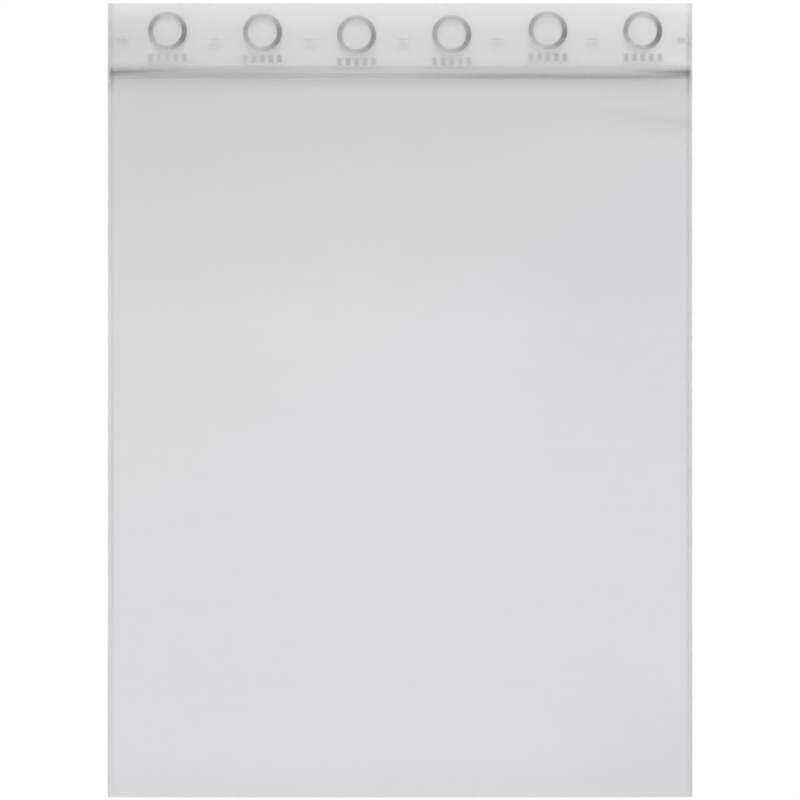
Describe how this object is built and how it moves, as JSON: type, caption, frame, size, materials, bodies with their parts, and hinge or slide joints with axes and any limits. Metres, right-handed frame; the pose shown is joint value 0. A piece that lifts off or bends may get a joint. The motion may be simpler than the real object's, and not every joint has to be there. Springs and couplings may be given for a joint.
{
  "type": "zipper bag",
  "caption": "Flat press-to-close bag of clear film with a folded bottom, welded sides and a rib-and-channel zip below its open lips.",
  "frame": {"origin": "centre of the back wall's outer face, which the bag lies on", "axes": "+X along the zip, +Y from the bottom fold to the mouth, +Z from the back wall to the front wall"},
  "size_m": [0.12, 0.163, 0.0015],
  "materials": {
    "clear_film": "slightly hazy clear polyethylene film"
  },
  "bodies": {
    "root": {"bag_film": "clear_film"}
  },
  "joints": []
}
